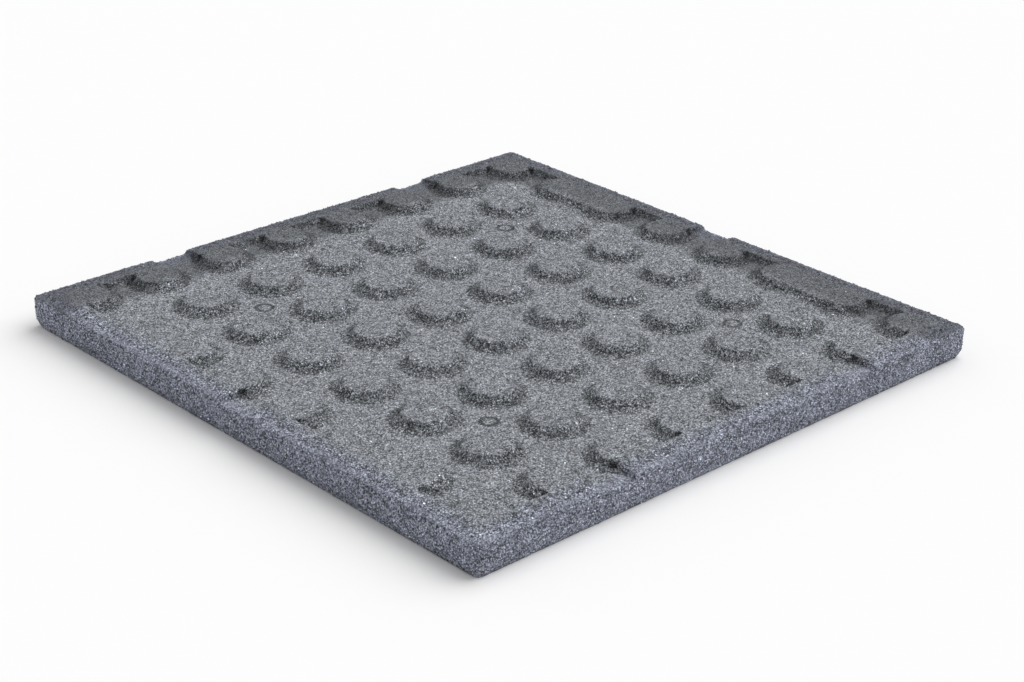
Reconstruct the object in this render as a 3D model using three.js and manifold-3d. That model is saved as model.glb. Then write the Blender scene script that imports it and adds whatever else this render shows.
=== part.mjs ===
// Rubber paving tile, moulded in one piece from bonded rubber granulate and lying on its
// walking face, so that its studded drainage underside is up. Millimetres, +Z up, with the
// origin under the middle of the tile on the plane that it lies on.

import * as THREE from 'three';
import { mergeVertices } from 'three/addons/utils/BufferGeometryUtils.js';
import Module from 'manifold-3d';

// Slab
const side = 500;
const thickness = 28;
const cornerRadius = 5;
const walkingBevelWidth = 2.5;
const walkingBevelHeight = 8;
const outerLipWidth = 1.2;
const outerLipHeight = 1.5;

// Rim, whose top falls outwards, and the recessed channel floor inside it
const rimWidth = 20;
const rimFall = 2.5;
const channelDepth = 6;
const rimWallFoot = 3;
const rimShoulderWidth = 2;
const rimShoulderHeight = 2;
const recessCornerRadius = 6;

// Round drainage studs
const studsPerSide = 8;
const borderStudStandoff = 11.25;
const studFlatRadius = 15.5;
const studShoulderWidth = 2;
const studShoulderHeight = 2;
const studWallLean = 2.5;
const studFootWidth = 6;
const studFootHeight = 1.4;
const studSegments = 16;
const studShoulderSteps = 2;

// Drain notches through the rim
const notchWidth = 32;
const notchDepth = 6;
const notchEndSlope = 1.5;

// Small round moulding marks on the channel floor
const markRadius = 6.5;
const markRingWidth = 1.5;
const markDepth = 0.6;
const markSegments = 16;

// Curve steps of the slab's corners, and how far cutting and joining solids pass each other
const cornerSteps = 3;
const overrun = 5;

const recessFloor = thickness - channelDepth;
const halfSide = side / 2;
const borderStud = halfSide - rimWidth - borderStudStandoff;
const studPitch = (2 * borderStud) / (studsPerSide - 1);

const wasm = await Module();
wasm.setup();

function solidFrom(geometry) {
  const shape = geometry.index ? geometry.toNonIndexed() : geometry.clone();
  shape.deleteAttribute('normal');
  shape.deleteAttribute('uv');
  const merged = mergeVertices(shape, 1e-4);
  return new wasm.Manifold(new wasm.Mesh({
    numProp: 3,
    vertProperties: new Float32Array(merged.attributes.position.array),
    triVerts: new Uint32Array(merged.index.array),
  }));
}

function geometryFrom(solid) {
  const mesh = solid.getMesh();
  const geometry = new THREE.BufferGeometry();
  geometry.setAttribute('position', new THREE.BufferAttribute(new Float32Array(mesh.vertProperties), 3));
  geometry.setIndex(new THREE.BufferAttribute(new Uint32Array(mesh.triVerts), 1));
  geometry.computeVertexNormals();
  return geometry;
}

function roundedSquare(half, radius) {
  const shape = new THREE.Shape();
  const straight = half - radius;
  shape.moveTo(half, -straight);
  shape.lineTo(half, straight);
  shape.absarc(straight, straight, radius, 0, Math.PI / 2);
  shape.lineTo(-straight, half);
  shape.absarc(-straight, straight, radius, Math.PI / 2, Math.PI);
  shape.lineTo(-half, -straight);
  shape.absarc(-straight, -straight, radius, Math.PI, 1.5 * Math.PI);
  shape.lineTo(straight, -half);
  shape.absarc(straight, -straight, radius, 1.5 * Math.PI, 2 * Math.PI);
  return shape;
}

// A rounded square block from z = low to z = high, whose foot is drawn in by inset over
// the height rise.
function taperedBlock(half, radius, low, high, inset, rise) {
  const geometry = new THREE.ExtrudeGeometry(roundedSquare(half, radius), {
    depth: high - low - rise,
    curveSegments: cornerSteps,
    bevelEnabled: true,
    bevelThickness: rise,
    bevelSize: inset,
    bevelOffset: -inset,
    bevelSegments: 1,
  });
  geometry.translate(0, 0, low + rise);
  return geometry;
}

// A square block that narrows upwards from z = 0 to the top of the tile. Its sides pass
// through half = halfSide at z = edge, and lean in by lean for each millimetre of height.
function leaningSides(edge, lean) {
  const halfLow = halfSide + edge * lean;
  const halfHigh = halfSide - (thickness - edge) * lean;
  const geometry = new THREE.CylinderGeometry(
    halfHigh * Math.SQRT2, halfLow * Math.SQRT2, thickness, 4);
  geometry.rotateY(Math.PI / 4);
  geometry.rotateX(Math.PI / 2);
  geometry.translate(0, 0, thickness / 2);
  return solidFrom(geometry);
}

// The slab has its bevelled walking edges down. Its rim falls outwards to an eased edge.
function slab() {
  const outerEdge = thickness - rimFall;
  const bevelled = taperedBlock(
    halfSide, cornerRadius, 0, thickness + overrun, walkingBevelWidth, walkingBevelHeight);
  return solidFrom(bevelled)
    .intersect(leaningSides(outerEdge, rimWidth / rimFall))
    .intersect(leaningSides(outerEdge - outerLipHeight, outerLipWidth / outerLipHeight));
}

// The recess inside the rim, with leaning walls and an eased top edge.
function recess() {
  const halfFloor = halfSide - rimWidth - rimWallFoot;
  const halfTop = halfSide - rimWidth;
  const pit = taperedBlock(
    halfTop, recessCornerRadius, recessFloor, thickness + overrun, halfTop - halfFloor, channelDepth);
  const flare = taperedBlock(
    halfTop + rimShoulderWidth, recessCornerRadius + rimShoulderWidth,
    thickness - rimShoulderHeight, thickness + overrun, rimShoulderWidth, rimShoulderHeight);
  return solidFrom(pit).add(solidFrom(flare));
}

// Half the section of a stud, from its spreading foot up the leaning wall to the flat of
// its top.
function studSection() {
  const wallFoot = studFlatRadius + studShoulderWidth + studWallLean;
  const points = [
    new THREE.Vector2(wallFoot + studFootWidth, recessFloor - overrun),
    new THREE.Vector2(wallFoot + studFootWidth, recessFloor),
    new THREE.Vector2(wallFoot, recessFloor + studFootHeight),
  ];
  for (let step = 0; step <= studShoulderSteps; step += 1) {
    const angle = (step / studShoulderSteps) * (Math.PI / 2);
    points.push(new THREE.Vector2(
      studFlatRadius + studShoulderWidth * Math.cos(angle),
      thickness - studShoulderHeight + studShoulderHeight * Math.sin(angle),
    ));
  }
  return points;
}

function studAt(x, y) {
  const half = studSection();
  const first = new THREE.Vector2(0, half[0].y);
  const last = new THREE.Vector2(0, half[half.length - 1].y);
  const geometry = new THREE.LatheGeometry([first, ...half, last], studSegments);
  geometry.rotateX(Math.PI / 2);
  geometry.translate(x, y, 0);
  return solidFrom(geometry);
}

// The web that joins two neighbouring border studs into one long stud along Y.
function webBetween(x, yLow, yHigh) {
  const half = studSection();
  const section = new THREE.Shape();
  half.forEach((point, index) => {
    if (index === 0) section.moveTo(point.x, point.y);
    else section.lineTo(point.x, point.y);
  });
  half.slice().reverse().forEach((point) => section.lineTo(-point.x, point.y));
  const geometry = new THREE.ExtrudeGeometry(section, { depth: yHigh - yLow, bevelEnabled: false });
  geometry.rotateX(Math.PI / 2);
  geometry.translate(x, yHigh, 0);
  return solidFrom(geometry);
}

// A notch through the rim on the side that faces +Y, centred on x = place, then turned
// round the tile.
function notchAt(place, turn) {
  const section = new THREE.Shape();
  const slopeAbove = notchEndSlope * (overrun / notchDepth);
  section.moveTo(place - notchWidth / 2 + notchEndSlope, thickness - notchDepth);
  section.lineTo(place + notchWidth / 2 - notchEndSlope, thickness - notchDepth);
  section.lineTo(place + notchWidth / 2 + slopeAbove, thickness + overrun);
  section.lineTo(place - notchWidth / 2 - slopeAbove, thickness + overrun);
  const length = rimWidth + rimWallFoot + overrun;
  const geometry = new THREE.ExtrudeGeometry(section, { depth: length, bevelEnabled: false });
  geometry.rotateX(Math.PI / 2);
  geometry.translate(0, halfSide + overrun, 0);
  geometry.rotateZ(turn);
  return solidFrom(geometry);
}

function markAt(x, y) {
  const inner = markRadius - markRingWidth;
  const geometry = new THREE.LatheGeometry([
    new THREE.Vector2(inner, recessFloor - markDepth),
    new THREE.Vector2(markRadius, recessFloor - markDepth),
    new THREE.Vector2(markRadius, recessFloor + overrun),
    new THREE.Vector2(inner, recessFloor + overrun),
    new THREE.Vector2(inner, recessFloor - markDepth),
  ], markSegments);
  geometry.rotateX(Math.PI / 2);
  geometry.translate(x, y, 0);
  return solidFrom(geometry);
}

// Places on the stud grid are counted from the -X -Y corner, and halves are gaps.
function gridPlace(index) {
  return -borderStud + index * studPitch;
}

const lastStud = studsPerSide - 1;
const outerGap = 1.5;
const outerGaps = [gridPlace(outerGap), gridPlace(lastStud - outerGap)];
const middleGap = gridPlace(lastStud / 2);

let body = slab().subtract(recess());

for (const place of outerGaps) {
  body = body.subtract(notchAt(place, 0));
  body = body.subtract(notchAt(place, Math.PI));
}
body = body.subtract(notchAt(middleGap, Math.PI / 2));
body = body.subtract(notchAt(middleGap, -Math.PI / 2));

for (let column = 0; column < studsPerSide; column += 1) {
  for (let row = 0; row < studsPerSide; row += 1) {
    body = body.add(studAt(gridPlace(column), gridPlace(row)));
  }
}

for (const column of [0, lastStud]) {
  for (const row of [1, lastStud - 2]) {
    body = body.add(webBetween(gridPlace(column), gridPlace(row), gridPlace(row + 1)));
  }
}

for (const x of outerGaps) {
  for (const y of outerGaps) {
    body = body.subtract(markAt(x, y));
  }
}

const granulate = new THREE.MeshStandardMaterial({ color: 0x6c6d74, roughness: 0.95, metalness: 0 });

const tile = new THREE.Mesh(geometryFrom(body), granulate);
tile.name = 'tile';

const pavingTile = new THREE.Group();
pavingTile.add(tile);

export default pavingTile;
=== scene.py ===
import math

import bmesh
import bpy
import numpy as np
from mathutils import Matrix, Vector, noise
from mathutils.bvhtree import BVHTree


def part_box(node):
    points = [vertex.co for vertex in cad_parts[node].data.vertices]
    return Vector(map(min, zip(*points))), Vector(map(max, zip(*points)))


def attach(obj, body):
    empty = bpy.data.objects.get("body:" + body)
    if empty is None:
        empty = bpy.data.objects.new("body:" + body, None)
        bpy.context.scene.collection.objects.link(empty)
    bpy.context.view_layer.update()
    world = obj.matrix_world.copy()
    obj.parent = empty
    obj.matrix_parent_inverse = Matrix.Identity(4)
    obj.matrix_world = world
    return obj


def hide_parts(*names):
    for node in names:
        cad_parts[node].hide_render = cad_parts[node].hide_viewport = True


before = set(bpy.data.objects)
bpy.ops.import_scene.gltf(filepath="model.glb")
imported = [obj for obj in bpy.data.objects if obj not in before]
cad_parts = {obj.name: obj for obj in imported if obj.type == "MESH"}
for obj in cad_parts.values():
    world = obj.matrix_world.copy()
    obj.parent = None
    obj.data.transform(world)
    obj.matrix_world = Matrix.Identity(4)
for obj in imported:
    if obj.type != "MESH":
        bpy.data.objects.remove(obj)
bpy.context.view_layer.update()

# The moulded tile. It is one piece of bonded rubber crumb, pressed in a mould: a slab with a rim
# that falls outwards, a recessed channel floor, round drainage studs, and notches through the rim
# for the water to leave. It lies on its walking face, so the studs are up.
mm = 0.001
low_corner, high_corner = (Vector(corner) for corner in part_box("tile"))
half_side = high_corner.x
thickness = high_corner.z
corner_radius = 5 * mm
walking_bevel_width = 2.5 * mm
walking_bevel_height = 8 * mm
outer_lip_width = 1.2 * mm
outer_lip_height = 1.5 * mm

rim_width = 20 * mm
rim_fall = 2.5 * mm
channel_floor = thickness - 6 * mm
rim_wall_foot = 3 * mm
rim_shoulder = 2 * mm
recess_corner_radius = 6 * mm

studs_in_row = 8
border_stud_inset = 31.25 * mm
stud_top_radius = 17.5 * mm
stud_base_radius = 20 * mm
stud_shoulder = 2 * mm
stud_foot_width = 6 * mm
stud_foot_height = 1.4 * mm
foot_middle = (0.35, 0.4)

notch_width = 32 * mm
notch_floor = thickness - 6 * mm
notch_end_radius = 2.5 * mm

mark_radius = 6.5 * mm
mark_ring_width = 1.5 * mm
mark_depth = 0.6 * mm
mark_wall_lean = 0.3 * mm

overrun = 4 * mm
tolerance = 0.01 * mm
stud_steps = 48
mark_steps = 32
shoulder_steps = 4
edge_steps = 3
corner_steps = 6
stud_pitch = 2 * (half_side - border_stud_inset) / (studs_in_row - 1)


def grid_place(index):
    """Where a row of studs lies, counted from the low side."""
    return -half_side + border_stud_inset + index * stud_pitch


def quarter_round(radius, steps):
    """Points of a quarter circle as (inset, drop), from the flat on top to the wall."""
    turns = [math.pi / 2 * step / steps for step in range(steps + 1)]
    return [(radius * (1 - math.sin(turn)), radius * (1 - math.cos(turn))) for turn in turns]


def piece_from(shape, name):
    bmesh.ops.recalc_face_normals(shape, faces=shape.faces)
    mesh = bpy.data.meshes.new(name)
    shape.to_mesh(mesh)
    shape.free()
    piece = bpy.data.objects.new(name, mesh)
    bpy.context.scene.collection.objects.link(piece)
    return piece


def square_stack(levels, radius, name):
    """A rounded square block, drawn up through levels of (half width, height)."""
    shape = bmesh.new()
    half, height = levels[0]
    bmesh.ops.create_grid(shape, x_segments=1, y_segments=1, size=half)
    bmesh.ops.bevel(shape, geom=shape.verts[:], offset=radius, offset_type="OFFSET",
                    segments=corner_steps, profile=0.5, affect="VERTICES", material=-1)
    bmesh.ops.translate(shape, verts=shape.verts, vec=(0, 0, height))
    top = shape.faces[:]
    for next_half, next_height in levels[1:]:
        made = bmesh.ops.extrude_face_region(shape, geom=top)["geom"]
        verts = [item for item in made if isinstance(item, bmesh.types.BMVert)]
        if height > levels[0][1]:
            bmesh.ops.delete(shape, geom=top, context="FACES_ONLY")
        top = [item for item in made if isinstance(item, bmesh.types.BMFace)]
        grow = next_half / half
        bmesh.ops.scale(shape, verts=verts, vec=(grow, grow, 1))
        bmesh.ops.translate(shape, verts=verts, vec=(0, 0, next_height - height))
        half, height = next_half, next_height
    return piece_from(shape, name)


def carve(piece, tool, how):
    """Cuts a tool out of a piece, or joins it on, and then clears the tool away."""
    step = piece.modifiers.new("carve", "BOOLEAN")
    step.operation = how
    step.solver = "MANIFOLD"
    step.object = tool
    bpy.context.view_layer.update()
    seen = piece.evaluated_get(bpy.context.evaluated_depsgraph_get())
    carved = bpy.data.meshes.new_from_object(seen)
    piece.modifiers.clear()
    piece.data = carved
    bpy.data.objects.remove(tool)


def stud_profile():
    """Half the section of a stud as (radius, height), from the middle of its top to below its foot."""
    points = [(0, thickness)]
    points += [(stud_top_radius - inset, thickness - drop)
               for inset, drop in quarter_round(stud_shoulder, shoulder_steps)]
    points.append((stud_base_radius, channel_floor + stud_foot_height))
    points.append((stud_base_radius + foot_middle[0] * stud_foot_width,
                   channel_floor + foot_middle[1] * stud_foot_height))
    points.append((stud_base_radius + stud_foot_width, channel_floor))
    points.append((stud_base_radius + stud_foot_width, channel_floor - overrun))
    points.append((0, channel_floor - overrun))
    return points


def studs():
    """One stud, turned from its profile and copied over the grid."""
    shape = bmesh.new()
    verts = [shape.verts.new((radius, 0, height)) for radius, height in stud_profile()]
    edges = [shape.edges.new(pair) for pair in zip(verts, verts[1:])]
    bmesh.ops.spin(shape, geom=verts + edges, cent=(0, 0, 0), axis=(0, 0, 1), angle=math.tau,
                   steps=stud_steps, use_merge=True)
    bmesh.ops.remove_doubles(shape, verts=shape.verts, dist=tolerance)
    first = shape.verts[:] + shape.edges[:] + shape.faces[:]
    for column in range(studs_in_row):
        for row in range(studs_in_row):
            made = bmesh.ops.duplicate(shape, geom=first)["geom"]
            copied = [item for item in made if isinstance(item, bmesh.types.BMVert)]
            bmesh.ops.translate(shape, verts=copied, vec=(grid_place(column), grid_place(row), 0))
    bmesh.ops.delete(shape, geom=[item for item in first if isinstance(item, bmesh.types.BMVert)],
                     context="VERTS")
    return piece_from(shape, "studs")


def web(x, y_low, y_high):
    """The straight middle of a long stud, with the section of a round one."""
    shape = bmesh.new()
    half = stud_profile()[1:-1]
    section = half + [(-radius, height) for radius, height in reversed(half)]
    verts = [shape.verts.new((x + across, y_low, height)) for across, height in section]
    face = shape.faces.new(verts)
    made = bmesh.ops.extrude_face_region(shape, geom=[face])["geom"]
    moved = [item for item in made if isinstance(item, bmesh.types.BMVert)]
    bmesh.ops.translate(shape, verts=moved, vec=(0, y_high - y_low, 0))
    return piece_from(shape, "web")


def notch(place, turn):
    """A notch through the rim, rounded at the top and the bottom of its two ends."""
    shape = bmesh.new()
    half = notch_width / 2
    bend = quarter_round(notch_end_radius, edge_steps)
    foot = [(half - inset, notch_floor + drop) for drop, inset in bend]
    head = [(half + inset, thickness - drop) for drop, inset in bend]
    side = sorted(set(foot + head), key=lambda point: point[1])
    side.append((half + notch_end_radius, thickness + overrun))
    section = side + [(-across, height) for across, height in reversed(side)]
    verts = [shape.verts.new((place + across, half_side + overrun, height))
             for across, height in section]
    face = shape.faces.new(verts)
    made = bmesh.ops.extrude_face_region(shape, geom=[face])["geom"]
    moved = [item for item in made if isinstance(item, bmesh.types.BMVert)]
    length = rim_width + rim_wall_foot + 2 * overrun
    bmesh.ops.translate(shape, verts=moved, vec=(0, -length, 0))
    bmesh.ops.rotate(shape, verts=shape.verts, cent=(0, 0, 0), matrix=Matrix.Rotation(turn, 3, "Z"))
    return piece_from(shape, "notch")


def mark(x, y):
    """A ring pressed into the channel floor by the mould."""
    shape = bmesh.new()
    inner = mark_radius - mark_ring_width
    ring = [(inner, channel_floor + overrun),
            (inner + mark_wall_lean, channel_floor - mark_depth),
            (mark_radius - mark_wall_lean, channel_floor - mark_depth),
            (mark_radius, channel_floor + overrun)]
    verts = [shape.verts.new((radius, 0, height)) for radius, height in ring]
    edges = [shape.edges.new((verts[i], verts[(i + 1) % 4])) for i in range(4)]
    bmesh.ops.spin(shape, geom=verts + edges, cent=(0, 0, 0), axis=(0, 0, 1), angle=math.tau,
                   steps=mark_steps, use_merge=True)
    bmesh.ops.remove_doubles(shape, verts=shape.verts, dist=tolerance)
    bmesh.ops.translate(shape, verts=shape.verts, vec=(x, y, 0))
    return piece_from(shape, "mark")


half_top = half_side - rim_width
rim_edge = thickness - rim_fall
slab_levels = [(half_side - walking_bevel_width, 0), (half_side, walking_bevel_height),
               (half_side, rim_edge - outer_lip_height), (half_side - outer_lip_width, rim_edge),
               (half_top, thickness)]
tile = square_stack(slab_levels, corner_radius, "rubber_tile")

recess_levels = [(half_top - rim_wall_foot - stud_foot_height, channel_floor),
                 (half_top - rim_wall_foot, channel_floor + stud_foot_height)]
recess_levels += [(half_top + inset, thickness - drop)
                  for drop, inset in quarter_round(rim_shoulder, edge_steps)]
recess_levels.append((half_top + rim_shoulder, thickness + overrun))
carve(tile, square_stack(recess_levels, recess_corner_radius, "recess"), "DIFFERENCE")

outer_gaps = (grid_place(1.5), grid_place(studs_in_row - 2.5))
for place in outer_gaps:
    carve(tile, notch(place, 0), "DIFFERENCE")
    carve(tile, notch(place, math.pi), "DIFFERENCE")
carve(tile, notch(0, math.pi / 2), "DIFFERENCE")
carve(tile, notch(0, -math.pi / 2), "DIFFERENCE")
carve(tile, studs(), "UNION")
for column in (0, studs_in_row - 1):
    for row in (1, studs_in_row - 3):
        carve(tile, web(grid_place(column), grid_place(row), grid_place(row + 1)), "UNION")
for x in outer_gaps:
    for y in outer_gaps:
        carve(tile, mark(x, y), "DIFFERENCE")

# The crumb's relief. The pressed face is uneven by a fraction of a millimetre, and loose crumbs have
# broken out of its edges. The moulded shape gets an even mesh, laid back on the moulded faces, and
# its points are then moved in and out. The walking face stays flat, with few faces.
grain_step = 2.1 * mm
relief_depth = 0.5 * mm
relief_spread = 0.16 * mm
wave_height = 0.25 * mm
wave_size = 9 * mm
side_shift = 0.35 * mm
edge_bend = 0.10 * mm
chip_depth = 0.55 * mm
chip_size = 3.5 * mm
chip_contrast = 1.6
chip_share = 0.25
still_height = 0.2 * mm
relief_seed = 11


def even_surface(piece, step_size):
    """Gives a piece an even mesh that lies on its moulded faces."""
    moulded = BVHTree.FromObject(piece, bpy.context.evaluated_depsgraph_get())
    even = piece.modifiers.new("even", "REMESH")
    even.mode = "VOXEL"
    even.voxel_size = step_size
    bpy.context.view_layer.update()
    seen = piece.evaluated_get(bpy.context.evaluated_depsgraph_get())
    shape = bmesh.new()
    shape.from_mesh(seen.to_mesh())
    for vert in shape.verts:
        place, _, _, distance = moulded.find_nearest(vert.co)
        if distance < step_size:
            vert.co = place
    hidden = [face for face in shape.faces if all(vert.co.z < tolerance for vert in face.verts)]
    bmesh.ops.dissolve_faces(shape, faces=hidden, use_verts=True)
    bmesh.ops.triangulate(shape, faces=shape.faces[:], quad_method="SHORT_EDGE", ngon_method="BEAUTY")
    for face in shape.faces:
        face.smooth = True
    piece.modifiers.clear()
    shape.to_mesh(piece.data)
    shape.free()


def columns(items, name, width):
    """Reads a property of all the items of a mesh into an array."""
    values = np.empty(len(items) * width)
    items.foreach_get(name, values)
    return values.reshape(-1, width)


def roughen(piece):
    """Moves the points of a piece in and out, and more where its edges bend."""
    mesh = piece.data
    places = columns(mesh.vertices, "co", 3)
    normals = columns(mesh.vertices, "normal", 3)
    ends = columns(mesh.edges, "vertices", 2).astype(int)
    total = np.zeros_like(places)
    count = np.zeros(len(places))
    for here, there in ((0, 1), (1, 0)):
        np.add.at(total, ends[:, here], places[ends[:, there]])
        np.add.at(count, ends[:, here], 1)
    bend = ((places - total / count[:, None]) * normals).sum(1)

    draw = np.random.default_rng(relief_seed)
    waves = np.array([noise.noise(Vector(place) / wave_size) for place in places])
    chips = np.array([noise.noise(Vector(place) / chip_size + Vector((7, 7, 7))) for place in places])
    depth = relief_depth + relief_spread * np.clip(draw.normal(size=len(places)), -2, 2)
    depth += wave_height * waves
    on_edge = np.clip(bend / edge_bend - 1, 0, 1)
    chipped = np.clip(chips * chip_contrast + chip_share, 0, 1)
    depth += on_edge * chip_depth * chipped * draw.random(len(places)) ** 0.5
    slide = draw.normal(size=places.shape) * side_shift
    slide -= (slide * normals).sum(1)[:, None] * normals
    visible = places[:, 2] > still_height
    moved = places + np.where(visible[:, None], slide - depth[:, None] * normals, 0)
    moved = np.clip(moved, list(low_corner), list(high_corner))
    mesh.vertices.foreach_set("co", moved.ravel())
    mesh.update()


even_surface(tile, grain_step)
roughen(tile)

# The crumbs at the surface. They are shreds of ground tyre, half held by the binder and half open,
# so each one is a small angular body of its own, sunk into the face that holds it.
crumb_radius = (0.4 * mm, 0.95 * mm)
crumb_sink = 0.25
crumb_stretch = (0.65, 1.3)
crumb_skew = 0.2
crumb_count = 24500
side_crumb_count = 17000
side_depth = 2.2 * mm
side_margin = 0.3 * mm
side_foot = 0.5 * mm
floor_margin = 1 * mm
top_margin = 1 * mm
flat_slope = 0.8
crumb_seed = 23


def is_outside(places):
    reach = np.abs(places[:, :2]).max(1)
    return (reach > half_side - side_depth) & (places[:, 2] < rim_edge + side_margin)


def is_floor(places, normals):
    return ~is_outside(places) & (places[:, 2] < channel_floor + floor_margin)


def is_top(places, normals):
    is_high = places[:, 2] > rim_edge - top_margin
    return ~is_outside(places) & is_high & (normals[:, 2] > flat_slope)


def is_wall(places, normals):
    return ~(is_outside(places) | is_floor(places, normals) | is_top(places, normals))


def is_side(places, normals):
    return is_outside(places) & (places[:, 2] > side_foot)


crumb_layers = {"crumbs_on_channel_floor": (crumb_count, is_floor),
                "crumbs_on_tops": (crumb_count, is_top),
                "crumbs_on_walls": (crumb_count, is_wall),
                "crumbs_on_sides": (side_crumb_count, is_side)}


def sample_faces(piece, count, is_wanted, draw):
    """Random points on the wanted faces of a piece, spread evenly by area, with their normals."""
    mesh = piece.data
    corners = columns(mesh.vertices, "co", 3)[columns(mesh.polygons, "vertices", 3).astype(int)]
    normals = columns(mesh.polygons, "normal", 3)
    areas = columns(mesh.polygons, "area", 1)[:, 0] * is_wanted(corners.mean(1), normals)
    picked = draw.choice(len(areas), size=count, p=areas / areas.sum())
    along, across = draw.random((2, count, 1))
    fold = along + across > 1
    along, across = np.where(fold, 1 - along, along), np.where(fold, 1 - across, across)
    first, second, third = (corners[picked, corner] for corner in range(3))
    return first + (second - first) * along + (third - first) * across, normals[picked]


def random_turns(count, draw):
    """Rotation matrices of random unit quaternions."""
    turns = draw.normal(size=(4, count))
    w, x, y, z = turns / np.linalg.norm(turns, axis=0)
    return np.stack([1 - 2 * (y * y + z * z), 2 * (x * y - w * z), 2 * (x * z + w * y),
                     2 * (x * y + w * z), 1 - 2 * (x * x + z * z), 2 * (y * z - w * x),
                     2 * (x * z - w * y), 2 * (y * z + w * x), 1 - 2 * (x * x + y * y)],
                    axis=1).reshape(-1, 3, 3)


def crumb_layer(name, count, is_wanted, draw):
    """Many eight-faced crumbs in one mesh, each turned and stretched its own way."""
    pattern = bmesh.new()
    bmesh.ops.create_uvsphere(pattern, u_segments=4, v_segments=2, radius=1)
    points = np.array([vert.co[:] for vert in pattern.verts])
    faces = np.array([[vert.index for vert in face.verts] for face in pattern.faces])
    pattern.free()
    places, normals = sample_faces(tile, count, is_wanted, draw)
    radii = draw.uniform(*crumb_radius, (count, 1, 1))
    shapes = points * draw.uniform(*crumb_stretch, (count, 1, 3))
    shapes = shapes + draw.normal(0, crumb_skew, (count, len(points), 3))
    shapes = np.einsum("nij,nkj->nki", random_turns(count, draw), shapes) * radii
    shapes += (places - normals * crumb_sink * radii[:, :, 0])[:, None, :]
    shapes = np.clip(shapes, list(low_corner), list(high_corner)).reshape(-1, 3)
    all_faces = (faces + len(points) * np.arange(count)[:, None, None]).reshape(-1, 3)
    mesh = bpy.data.meshes.new(name)
    mesh.from_pydata(shapes.tolist(), [], all_faces.tolist())
    layer = bpy.data.objects.new(name, mesh)
    bpy.context.scene.collection.objects.link(layer)
    return layer


draw = np.random.default_rng(crumb_seed)
layers = [crumb_layer(name, count, is_wanted, draw)
          for name, (count, is_wanted) in crumb_layers.items()]


# The granulate. It is black rubber crumb of about 1 mm with a grey binder, so it looks like pepper and
# salt with dark pores. It is bluer on the rim, rougher on the walls and feet of the studs, and darker
# in a strip along the +X and +Y edges. The walls and feet of the studs are also painted darker, as
# painted shade where the studs shade each other and the channel floor.
class Link:
    """A node's output, with which sums can be written."""

    def __init__(self, tree, output=None):
        self.tree = tree
        self.output = output

    def node(self, kind, settings=None, sockets=None, output=0):
        made = self.tree.nodes.new(kind)
        for name, value in (settings or {}).items():
            if name == "stops":
                stops = made.color_ramp.elements
                while len(stops) < len(value):
                    stops.new(0.5)
                for stop, (position, grey) in zip(stops, value):
                    stop.position = position
                    stop.color = (grey, grey, grey, 1)
            else:
                setattr(made, name, value)
        for name, value in (sockets or {}).items():
            if isinstance(value, Link):
                self.tree.links.new(value.output, made.inputs[name])
            else:
                made.inputs[name].default_value = value
        return Link(self.tree, made.outputs[output])

    def other(self, name):
        return Link(self.tree, self.output.node.outputs[name])

    def math(self, operation, first, second=0.0):
        return self.node("ShaderNodeMath", {"operation": operation}, {0: first, 1: second})

    def __add__(self, value):
        return self.math("ADD", self, value)

    __radd__ = __add__

    def __sub__(self, value):
        return self.math("SUBTRACT", self, value)

    def __rsub__(self, value):
        return self.math("SUBTRACT", value, self)

    def __mul__(self, value):
        return self.math("MULTIPLY", self, value)

    __rmul__ = __mul__

    def ramp(self, *stops):
        return self.node("ShaderNodeValToRGB", {"stops": stops}, {0: self})

    def step(self, low, high):
        """Nought below low, one above high, and a smooth rise between them."""
        return self.node("ShaderNodeMapRange", {"interpolation_type": "SMOOTHSTEP"},
                         {"Value": self, "From Min": low, "From Max": high})

    def mixed(self, mask, first, second, blend="MIX"):
        """A colour between first and second, or their product, by a mask."""
        return self.node("ShaderNodeMix", {"data_type": "RGBA", "blend_type": blend},
                         {"Factor": mask, 6: first, 7: second}, output=2)


inner_colour = (0.258, 0.272, 0.295, 1)
rim_colour = (0.260, 0.275, 0.333, 1)
crumb_size = 1.1 * mm
dust_size = 0.55 * mm
clump_size = 7 * mm
crumb_wobble = 1.2 * mm
crumb_tones = ((0, 0.10), (0.2, 0.28), (0.5, 0.44), (0.85, 0.60), (0.965, 0.72), (1, 0.82))
dust_tones = ((0, 0.22), (0.4, 0.42), (0.8, 0.60), (1, 0.84))
pore_range = (0.42, 0.75)

crumb_light = 1.3
dust_light = 0.95
clump_light = 0.5
base_light = 0.75
tone_gain = 1.36
tone_contrast = 1.75
rim_softness = 0.2
side_contrast = 0.55
wall_contrast = 0.9
strip_softness = 0.6

pore_shade = 0.45
strip_tone = 0.56
# Painted shade on the walls of the studs and on the channel floor round their feet.
wall_shade = 0.10
foot_shade = 0.42
crease_shade = 0.75
mark_shade = 0.75
mark_base = 0.4
mark_grain = 0.9
side_painted_shade = 0.91
fleck_limit = 0.9985
fleck_light = 2.2

bump_strength = 0.9
bump_height = 0.9 * mm
crumb_bump = 0.8
dust_bump = 0.45
clump_bump = 0.6
rubber_roughness = 0.85
rubber_shine = 0.3

# Where each mask begins and ends: by reach from the middle of the tile, a stud or a mark, or by height.
rim_range = (half_top - 4 * mm, half_side - 4 * mm)
side_range = (half_side - 4 * mm, half_side - 3 * mm)
side_top_range = (rim_edge - 1.8 * mm, rim_edge - 0.4 * mm)
strip_range = (half_side - 52 * mm, half_side - 38 * mm)
inside_range = (half_side - 8 * mm, half_side - 4 * mm)
top_range = (thickness - 2.2 * mm, thickness - 0.8 * mm)
stud_range = (24 * mm, 27.5 * mm)
floor_range = (channel_floor + 0.3 * mm, channel_floor + 1.6 * mm)
foot_range = (channel_floor + 0.8 * mm, channel_floor + 2.6 * mm)
crease_inner_range = (15.5 * mm, 17 * mm)
crease_outer_range = (20 * mm, 22.5 * mm)
crease_near_range = (half_top - 5.5 * mm, half_top - 2.5 * mm)
crease_far_range = (half_top + 0.5 * mm, half_top + 2.5 * mm)
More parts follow.
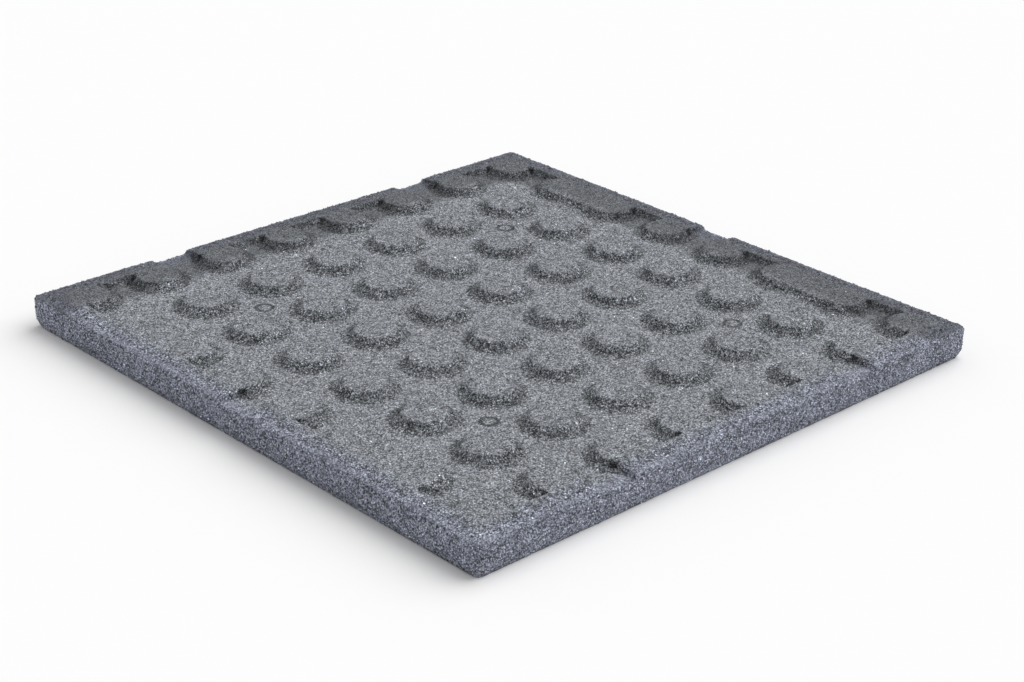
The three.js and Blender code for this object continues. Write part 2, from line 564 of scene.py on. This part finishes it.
mark_inner_range = (mark_radius - 2.6 * mm, mark_radius - 1.2 * mm)
mark_outer_range = (mark_radius + 0.4 * mm, mark_radius + 2.2 * mm)

granulate = bpy.data.materials.new("rubber_granulate")
granulate.use_nodes = True
tree = granulate.node_tree
rubber = tree.nodes["Principled BSDF"]
start = Link(tree)

place = start.node("ShaderNodeTexCoord", output="Object")
wobble = start.node("ShaderNodeTexNoise", {}, {"Vector": place, "Scale": 1 / crumb_size, "Detail": 1.0},
                    output="Color")
wobble = start.node("ShaderNodeVectorMath", {"operation": "MULTIPLY_ADD"},
                    {0: wobble, 1: (crumb_wobble,) * 3, 2: place})
crumbs = start.node("ShaderNodeTexVoronoi", {}, {"Vector": wobble, "Scale": 1 / crumb_size})
dust = start.node("ShaderNodeTexVoronoi", {}, {"Vector": wobble, "Scale": 1 / dust_size})
clumps = start.node("ShaderNodeTexNoise", {}, {"Vector": place, "Scale": 1 / clump_size, "Detail": 2.0})
crumb_pick = start.node("ShaderNodeSeparateColor", {}, {0: crumbs.other("Color")})
dust_pick = start.node("ShaderNodeSeparateColor", {}, {0: dust.other("Color")})

crumb_tone = crumb_pick.ramp(*crumb_tones)
dust_tone = dust_pick.ramp(*dust_tones)
pores = crumbs.step(*pore_range)

across = start.node("ShaderNodeSeparateXYZ", {}, {0: place})
along, height = across.other("Y"), across.other("Z")
reach = start.math("MAXIMUM", start.math("ABSOLUTE", across), start.math("ABSOLUTE", along))
rim_mask = reach.step(*rim_range)
side_mask = reach.step(*side_range) * (1 - height.step(*side_top_range))
strip_mask = start.math("MAXIMUM", across, along).step(*strip_range) * (1 - side_mask)
from_stud = [stud_pitch / 2 - start.math("PINGPONG", line, stud_pitch / 2) for line in (across, along)]
stud_reach = start.math("SQRT", from_stud[0] * from_stud[0] + from_stud[1] * from_stud[1])
below_top = 1 - height.step(*top_range)
near_stud = 1 - stud_reach.step(*stud_range)
raised = height.step(*floor_range)
inside = below_top * (1 - reach.step(*inside_range))
wall_shade_and_grain_mask = start.math("MAXIMUM", near_stud, raised) * inside
foot_shadow_mask = near_stud * (1 - height.step(*foot_range)) * inside

tone = crumb_tone * crumb_light + dust_tone * dust_light
tone = tone * (1 - pores * pore_shade) * (clumps * clump_light + base_light)
contrast = (tone_contrast - rim_mask * rim_softness + side_mask * side_contrast
            + wall_shade_and_grain_mask * wall_contrast - strip_mask * strip_softness)
tone = start.math("POWER", tone, contrast) * tone_gain
tone = tone * (1 - strip_mask * (1 - strip_tone))
# Painted shade: the stud walls and the floor round the stud feet are darkened where the studs shade
# them.
tone = tone * (1 - wall_shade_and_grain_mask * wall_shade) * (1 - foot_shadow_mask * (foot_shade - wall_shade))

# The narrow creases where a border stud runs into the rim's wall are painted nearly black, as painted
# shade.
crease_shadow_mask = (stud_reach.step(*crease_inner_range) * (1 - stud_reach.step(*crease_outer_range))
               * reach.step(*crease_near_range) * (1 - reach.step(*crease_far_range)) * below_top)
tone = tone * (1 - crease_shadow_mask * crease_shade)

# Painted shade in and round the groove of each pressed ring on the channel floor, broken by the grain.
from_mark = [start.math("ABSOLUTE", line) - abs(outer_gaps[0]) for line in (across, along)]
mark_reach = start.math("SQRT", from_mark[0] * from_mark[0] + from_mark[1] * from_mark[1])
mark_shadow_mask = (mark_reach.step(*mark_inner_range) * (1 - mark_reach.step(*mark_outer_range))
             * (mark_base + dust_tone * mark_grain))
fleck = start.math("GREATER_THAN", crumb_pick.other("Green"), fleck_limit)
# The outer side faces of the tile are painted a little darker, as painted shade.
tone = tone * (1 - mark_shadow_mask * mark_shade) * (1 + side_mask * (side_painted_shade - 1))
tone = tone * (1 + fleck * fleck_light)
colour = start.mixed(rim_mask, inner_colour, rim_colour)
colour = start.mixed(1.0, colour, tone, "MULTIPLY")

relief = (1 - crumbs) * crumb_bump + (1 - dust) * dust_bump + clumps * clump_bump
bump = start.node("ShaderNodeBump", {}, {"Strength": bump_strength, "Distance": bump_height,
                                         "Height": relief})
tree.links.new(colour.output, rubber.inputs["Base Color"])
tree.links.new(bump.output, rubber.inputs["Normal"])
rubber.inputs["Roughness"].default_value = rubber_roughness
rubber.inputs["Specular IOR Level"].default_value = rubber_shine
for piece in [tile] + layers:
    piece.data.materials.clear()
    piece.data.materials.append(granulate)
    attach(piece, "root")
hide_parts("tile")

# The floor, the light and the camera. The floor is plain and near white. The light is a pale sky and
# a wide, soft sun from the camera's right, half way up.
floor_size = 8
floor_colour = (0.93, 0.93, 0.93, 1)
floor_shape = bmesh.new()
bmesh.ops.create_grid(floor_shape, x_segments=1, y_segments=1, size=floor_size)
floor = piece_from(floor_shape, "floor")
floor_paint = bpy.data.materials.new("floor_paint")
floor_paint.use_nodes = True
paint = floor_paint.node_tree.nodes["Principled BSDF"]
paint.inputs["Base Color"].default_value = floor_colour
paint.inputs["Roughness"].default_value = 1
paint.inputs["Specular IOR Level"].default_value = 0
floor.data.materials.append(floor_paint)

sky_strength = 0.54
sun_strength = 2.13
sun_height = math.radians(50)
sun_heading = math.radians(102)
sun_spread = math.radians(70)
world = bpy.data.worlds.new("world")
world.use_nodes = True
world.node_tree.nodes["Background"].inputs["Color"].default_value = (1, 1, 1, 1)
world.node_tree.nodes["Background"].inputs["Strength"].default_value = sky_strength
bpy.context.scene.world = world
sun_data = bpy.data.lights.new("soft_sun", "SUN")
sun_data.energy = sun_strength
sun_data.angle = sun_spread
sun = bpy.data.objects.new("soft_sun", sun_data)
sun.rotation_euler = (math.pi / 2 - sun_height, 0, math.pi - sun_heading)
bpy.context.scene.collection.objects.link(sun)
bpy.context.scene.view_settings.view_transform = "Standard"

camera_place = Vector((-1.0478, -1.1016, 0.7054))
camera_heading = math.radians(43.985)
camera_fall = math.radians(24.877)
camera_roll = math.radians(1.489)
camera_data = bpy.data.cameras.new("camera")
camera_data.sensor_width = 36
camera_data.lens = 77.63
camera = bpy.data.objects.new("camera", camera_data)
camera.matrix_world = (Matrix.Translation(camera_place) @ Matrix.Rotation(-camera_heading, 4, "Z")
                       @ Matrix.Rotation(math.pi / 2 - camera_fall, 4, "X")
                       @ Matrix.Rotation(camera_roll, 4, "Z"))
bpy.context.scene.collection.objects.link(camera)
bpy.context.scene.camera = camera
